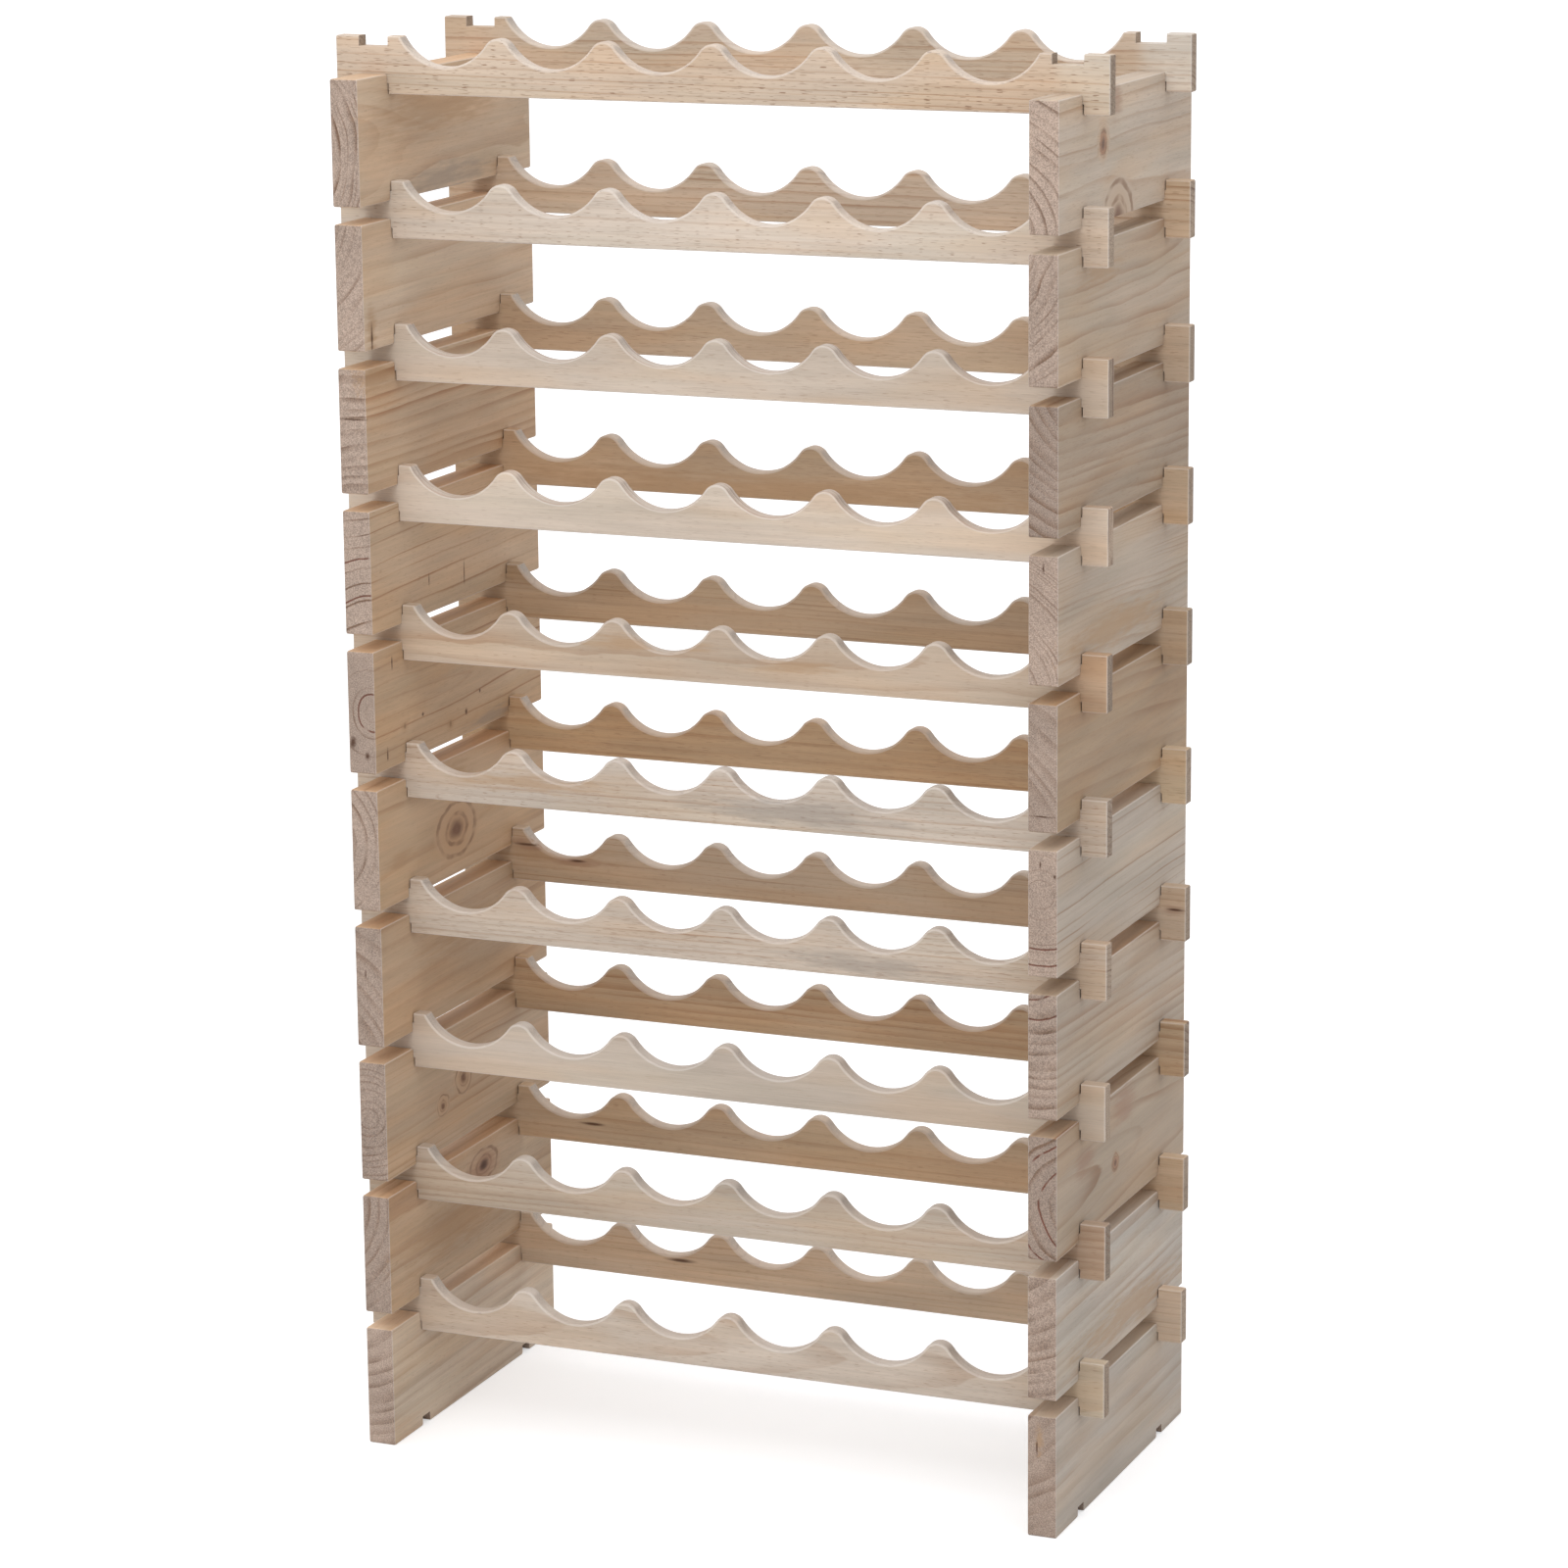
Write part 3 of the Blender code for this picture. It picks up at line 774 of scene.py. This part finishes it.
def surface_group():
    """The colour, roughness and height of planed pine, from its distance to the pith."""
    inputs = {
        "Point": "vector", "Distance": "value", "Ring Width": "value", "Line": "value",
        "Contrast": "value", "Dashes": "value", "Knot": "value", "Crack One": "value",
        "Crack Two": "value", "Early": "colour", "Late": "colour", "End": "colour",
        "End Contrast": "value", "Top Shade Warmth": "value", "Tint": "colour",
    }
    outputs = {"Color": "colour", "Roughness": "value", "Height": "value"}
    group, graph, entry = new_group("pine_surface", inputs, outputs)
    point = entry["Point"]
    facing = graph.split(graph.add("ShaderNodeTexCoord", {}).outputs["Normal"])
    end_grain = graph.ramp(graph.math("ABSOLUTE", facing[0]), 0.55, 0.9)
    # Painted warm shade: faces that look up are painted warmer, by a share set per piece.
    top = graph.math("MULTIPLY", graph.ramp(facing[2], 0.6, 0.9), entry["Top Shade Warmth"])
    late = late_wood(graph, entry)
    cracks = drying_cracks(graph, entry, end_grain)
    knot = graph.ramp(entry["Knot"], 1.12, 0.8)

    # Fibres and resin canals, long on the faces and dots in the end grain.
    fibre = graph.noise(point, 42, 0.9, 3.0, 0.6)["Fac"]
    speckle = graph.noise(point, 3.0, 0.9, 2.0, 0.8)["Fac"]
    canal = graph.noise(point, 8.0, 0.55, 0.0)["Fac"]
    dashes = graph.math("MULTIPLY", graph.ramp(canal, 0.66, 0.76), entry["Dashes"])

    # The faces: two woods in rings, patches of hue, dashes, knots, and painted warm shade on the faces
    # that look up.
    hue = graph.split(graph.noise(point, 170, 30)["Color"])
    colour = graph.tint(late, entry["Early"], entry["Late"])
    colour = graph.tint(graph.ramp(hue[0], 0.42, 0.66), colour, WARM_PATCH, "MULTIPLY")
    colour = graph.tint(graph.ramp(hue[1], 0.46, 0.68), colour, COOL_PATCH, "MULTIPLY")
    colour = graph.tint(graph.math("MULTIPLY", dashes, 0.6), colour, RESIN_CANAL)
    colour = with_knot(graph, entry, colour, late, knot)
    colour = graph.tint(top, colour, WARM_TOP_SHADE, "MULTIPLY")
    # Painted light and shade on a rail's right end (its ear).
    colour = graph.tint(1.0, colour, entry["Tint"], "MULTIPLY")

    # The ends: dull and banded, with cracks. Eased edges get a painted highlight and the waves painted
    # light: both are painted paler.
    banded = graph.math("MULTIPLY", late, entry["End Contrast"])
    colour = graph.tint(end_grain, colour, graph.tint(banded, entry["End"], END_LATE))
    colour = graph.tint(graph.math("MULTIPLY", cracks, 0.9), colour, CRACK_RED)
    light = lightness(graph, point, fibre, speckle, end_grain)
    colour = graph.vector("MULTIPLY", colour, light)
    sanded = graph.add("ShaderNodeAttribute", {}, attribute_name="sanded").outputs["Fac"]
    colour = graph.tint(graph.math("MULTIPLY", sanded, 0.45), colour, PAINTED_HIGHLIGHT_PALE)

    # End grain is the roughest. Late wood and knots are harder and plane smoother.
    rough = graph.ramp(fibre, 0.2, 0.8, 0.52, 0.68)
    rough = graph.math("ADD", rough, graph.math("MULTIPLY", end_grain, 0.14))
    rough = graph.math("SUBTRACT", rough, graph.math("MULTIPLY", late, 0.07))
    rough = graph.math("SUBTRACT", rough, graph.math("MULTIPLY", knot, 0.12))

    # Fibres, late wood and torn end grain stand proud. Canals and cracks sink in.
    height = graph.math("ADD", graph.math("MULTIPLY", fibre, 0.5), graph.math("MULTIPLY", late, 0.35))
    height = graph.math("SUBTRACT", height, graph.math("MULTIPLY", dashes, 0.45))
    height = graph.math("SUBTRACT", height, graph.math("MULTIPLY", cracks, 1.5))
    torn = graph.math("MULTIPLY", graph.math("MULTIPLY", speckle, end_grain), 1.1)
    height = graph.math("ADD", height, torn)
    graph.add("NodeGroupOutput", {"Color": colour, "Roughness": rough, "Height": height})
    return group


LOG = log_group()
KNOT = knot_group()
MARK = mark_group()
EYE = eye_group()
SURFACE = surface_group()


def branch(wood, thickness, along, up, radius, slant):
    """A knot's branch, from its place on the face: its root, its direction and how fast it grew."""
    face = Vector((along, -thickness / 2, up))
    root = Vector((along, *wood["pith"]))
    reach = (face - root).length
    root.x -= slant * reach
    return root, (face - root).normalized(), radius / reach


def distance_to_pith(graph, wood, thickness, seeded):
    """The distance that counts for the rings, and how near the nearest knot is."""
    seed = Vector(wood["seed"])
    lean = Vector((0, *wood["lean"]))
    pith = Vector((0, *wood["pith"])) + seed - lean * seed.x
    log = {"Point": seeded, "Pith": pith, "Lean": lean, "Waviness": wood["waviness"]}
    distance = graph.group(LOG, log)["Distance"]
    knot = NO_KNOT
    for spot in wood["knots"]:
        root, direction, growth = branch(wood, thickness, *spot)
        found = graph.group(KNOT, {
            "Point": seeded, "Distance": distance, "Start": root + seed, "Direction": direction,
            "Growth": growth,
        })
        distance = found["Distance"]
        knot = graph.math("MINIMUM", found["Share"], knot)
    return distance, knot


def with_flaws(graph, wood, point, colour):
    """The colour with the plank's eyes and marks laid over it."""
    for spot, size in wood["eyes"]:
        inputs = {"Point": point, "Place": spot, "Size": size, "Color": colour}
        colour = graph.group(EYE, {**inputs, "Base": (*wood["early"], 1)})["Color"]
    for kind, spot, size in wood["marks"]:
        mark, strength, fray = MARKS[kind]
        inputs = {"Point": point, "Place": spot, "Size": size, "Color": colour}
        look = {"Mark": (*mark, 1), "Strength": strength, "Fray": fray}
        colour = graph.group(MARK, {**inputs, **look})["Color"]
    return colour


def pine(name, wood, thickness):
    """A piece's own pine, from the way its plank was sawn out of the log."""
    material = bpy.data.materials.new(name + "_pine")
    material.use_nodes = True
    tree = material.node_tree
    shader = tree.nodes["Principled BSDF"]
    graph = Graph(tree)
    place = graph.add("ShaderNodeTexCoord", {}).outputs["Object"]
    point = graph.vector("MULTIPLY", place, (1 / MM, 1 / MM, 1 / MM))
    seeded = graph.vector("ADD", point, Vector(wood["seed"]))
    distance, knot = distance_to_pith(graph, wood, thickness, seeded)
    crack_one, crack_two = wood["cracks"]
    # Painted light and shade on a rail's right end, past the right board; boards get none.
    ear_light_mask = graph.ramp(graph.split(point)[0], BOARD_CENTRE_X - 15, BOARD_CENTRE_X)
    surface = graph.group(SURFACE, {
        "Point": seeded, "Distance": distance, "Ring Width": wood["ring_width"],
        "Line": wood["line"], "Contrast": wood["contrast"], "Dashes": wood["dashes"],
        "Knot": knot, "Crack One": crack_one, "Crack Two": crack_two,
        "Early": (*wood["early"], 1), "Late": (*wood["late"], 1), "End": (*wood["end"], 1),
        "End Contrast": wood["end_contrast"], "Top Shade Warmth": wood["top_shade_warmth"],
        "Tint": graph.tint(ear_light_mask, (1, 1, 1, 1), (*wood["ear_light"], 1)),
    })
    colour = with_flaws(graph, wood, point, surface["Color"])
    relief = {"Strength": 0.5, "Distance": 0.0004, "Height": surface["Height"]}
    bump = graph.add("ShaderNodeBump", relief)
    tree.links.new(colour, shader.inputs["Base Color"])
    tree.links.new(surface["Roughness"], shader.inputs["Roughness"])
    tree.links.new(bump.outputs["Normal"], shader.inputs["Normal"])
    shader.inputs["IOR"].default_value = 1.45
    shader.inputs["Specular IOR Level"].default_value = 0.35
    return material


def drawn_wood(name):
    """A plank's place in its log and its colours: drawn by chance where they aren't known."""
    dice = random.Random(name)
    kind, side, tier = name.rsplit("_", 2)
    board = kind == "side_board"
    wood = {
        "seed": [dice.uniform(-400, 400) for axis in range(3)],
        "waviness": dice.uniform(5, 11) if board else dice.uniform(2.5, 5),
        "line": dice.uniform(0.35, 0.7),
        "contrast": dice.uniform(0.35, 0.6),
        "dashes": dice.uniform(0.2, 0.4) if board else dice.uniform(0.4, 0.8),
        "shade": dice.uniform(0.93, 1.03),
        "warm": dice.uniform(0.3, 0.8),
        "ring_width": dice.uniform(3.5, 6),
        "lean": (dice.uniform(-0.006, 0.006), dice.uniform(-0.016, 0.016)),
        "pith": (dice.uniform(-28, 28), dice.choice((-1, 1)) * dice.uniform(55, 95)),
        "end_shade": 1.0,
        "end_contrast": 1.5,
        "top_shade_warmth": 1.0 if board else 0.0,
        "ear_light": EAR_PAINTED_LIGHT.get(side, (1, 1, 1)),
        "cracks": (NO_CRACK, NO_CRACK),
        "knots": [],
        "eyes": [],
        "marks": [],
    }
    known = BOARDS if board else RAILS
    wood.update(known.get(f"{side}_{tier}", {}))
    pale = BOARD_PALE if board else RAIL_PALE
    warm = BOARD_WARM if board else RAIL_WARM
    early = pale.lerp(warm, wood["warm"]) * wood["shade"]
    # Painted light on the left boards' faces, which lie in the rack's shade; their ends keep the plain
    # end colour.
    if side == "left":
        early = early * LEFT_PAINTED_LIGHT
    wood["early"] = early
    wood["late"] = early * LATE_SHARE
    wood["end"] = (BOARD_END if board else RAIL_END) * wood["shade"] * wood["end_shade"]
    return wood


def place_piece(name, mesh, turn, thickness):
    """Puts a plank where its node is, a hair off true, and lets it stand for the node."""
    dice = random.Random(name + " place")
    piece = bpy.data.objects.new(name + "_wood", mesh)
    bpy.context.scene.collection.objects.link(piece)
    middle = middle_of(name)
    along = Vector((0, 1, 0)) if turn else Vector((1, 0, 0))
    piece.location = middle + along * dice.uniform(-SHIFT, SHIFT) * MM
    piece.rotation_euler = (0, 0, turn)
    flat = piece.modifiers.new("flat faces", "WEIGHTED_NORMAL")
    flat.keep_sharp = True
    flat.weight = 100
    mesh.materials.append(pine(name, drawn_wood(name), thickness))
    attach(piece, body_with(name))
    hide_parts(name)


def body_with(node):
    """The body that carries a node."""
    for body, members in frame["record"]["behaviour"]["bodies"].items():
        if node in members:
            return body


def side_board(side, tier):
    name = f"side_board_{side}_{tier:02d}"
    dice = random.Random(name + " cut")
    outline = board_outline(SHIFT + dice.uniform(0, END_TRIM), SHIFT + dice.uniform(0, END_TRIM))
    mesh = solid_plank(name, outline, BOARD_THICKNESS)
    place_piece(name, mesh, math.pi / 2, BOARD_THICKNESS)


def rail(place, tier):
    name = f"rail_{place}_{tier:02d}"
    dice = random.Random(name + " cut")
    outline = rail_outline(SHIFT + dice.uniform(0, END_TRIM), SHIFT + dice.uniform(0, END_TRIM))
    mesh = solid_plank(name, outline, RAIL_THICKNESS)
    place_piece(name, mesh, 0, RAIL_THICKNESS)


def build_rack():
    for tier in range(1, TIERS + 1):
        side_board("left", tier)
        side_board("right", tier)
        rail("front", tier)
        rail("back", tier)


# The stage, in metres: a white floor, a cool dome, a soft lamp and a long lens.
WHITE = (1, 1, 1, 1)
FLOOR_HALF = 40
FLOOR_PAINT = (0.72, 0.71, 0.70, 1)
FLOOR_GLOW = 0.45
DOME_LEVEL = 0.48
DOME_OVERHEAD = 0.9
DOME_COLOUR = (0.98, 1.0, 1.04)
LAMP_SIZE = 2.4
LAMP_POWER = 42
LAMP_PLACE = (0.1, -3.2, 2.8)
LAMP_AIM = Vector((0, 0, 0.6))
CAMERA_PLACE = (1.5144, -3.5615, 1.4155)
CAMERA_ANGLES = (77.0043, 0.5634, 22.7573)
LENS_LENGTH = 118.66


def add_floor():
    """A white floor that runs out past the view and clips to white where no shadow falls."""
    half = FLOOR_HALF
    mesh = bpy.data.meshes.new("floor")
    corners = [(-half, -half, 0), (half, -half, 0), (half, half, 0), (-half, half, 0)]
    mesh.from_pydata(corners, [], [(0, 1, 2, 3)])
    floor = bpy.data.objects.new("floor", mesh)
    bpy.context.scene.collection.objects.link(floor)
    paint = bpy.data.materials.new("floor_paint")
    paint.use_nodes = True
    graph = Graph(paint.node_tree)
    shader = paint.node_tree.nodes["Principled BSDF"]
    shader.inputs["Base Color"].default_value = FLOOR_PAINT
    shader.inputs["Roughness"].default_value = 0.9
    shader.inputs["Specular IOR Level"].default_value = 0.1
    shader.inputs["Emission Color"].default_value = WHITE
    seen = graph.add("ShaderNodeLightPath", {}).outputs["Is Camera Ray"]
    glow = graph.math("MULTIPLY", seen, FLOOR_GLOW)
    paint.node_tree.links.new(glow, shader.inputs["Emission Strength"])
    mesh.materials.append(paint)


def add_dome():
    """A cool dome that is brightest overhead, and plain white where the camera sees it."""
    world = bpy.data.worlds.new("white room")
    bpy.context.scene.world = world
    world.use_nodes = True
    graph = Graph(world.node_tree)
    background = world.node_tree.nodes["Background"]
    direction = graph.add("ShaderNodeTexCoord", {}).outputs["Generated"]
    height = graph.math("MAXIMUM", graph.split(direction)[2], 0.0)
    bright = graph.math("MULTIPLY_ADD", height, DOME_OVERHEAD, DOME_LEVEL)
    dome = graph.vector("MULTIPLY", graph.join(bright, bright, bright), DOME_COLOUR)
    seen = graph.add("ShaderNodeLightPath", {}).outputs["Is Camera Ray"]
    colour = graph.tint(seen, dome, WHITE)
    world.node_tree.links.new(colour, background.inputs["Color"])


def add_lamp():
    """A broad soft lamp at the front left, above, that faces the rack."""
    lamp = bpy.data.lights.new("soft key", "AREA")
    lamp.size = LAMP_SIZE
    lamp.energy = LAMP_POWER
    key = bpy.data.objects.new("soft key", lamp)
    bpy.context.scene.collection.objects.link(key)
    key.location = LAMP_PLACE
    key.rotation_euler = (key.location - LAMP_AIM).to_track_quat("Z", "Y").to_euler()


def add_camera():
    lens = bpy.data.cameras.new("camera")
    lens.lens = LENS_LENGTH
    lens.sensor_width = 36
    lens.clip_end = 200
    camera = bpy.data.objects.new("camera", lens)
    bpy.context.scene.collection.objects.link(camera)
    camera.location = CAMERA_PLACE
    camera.rotation_euler = Euler([math.radians(angle) for angle in CAMERA_ANGLES])
    bpy.context.scene.camera = camera


build_rack()
add_floor()
add_dome()
add_lamp()
add_camera()
bpy.context.scene.view_settings.view_transform = "Standard"
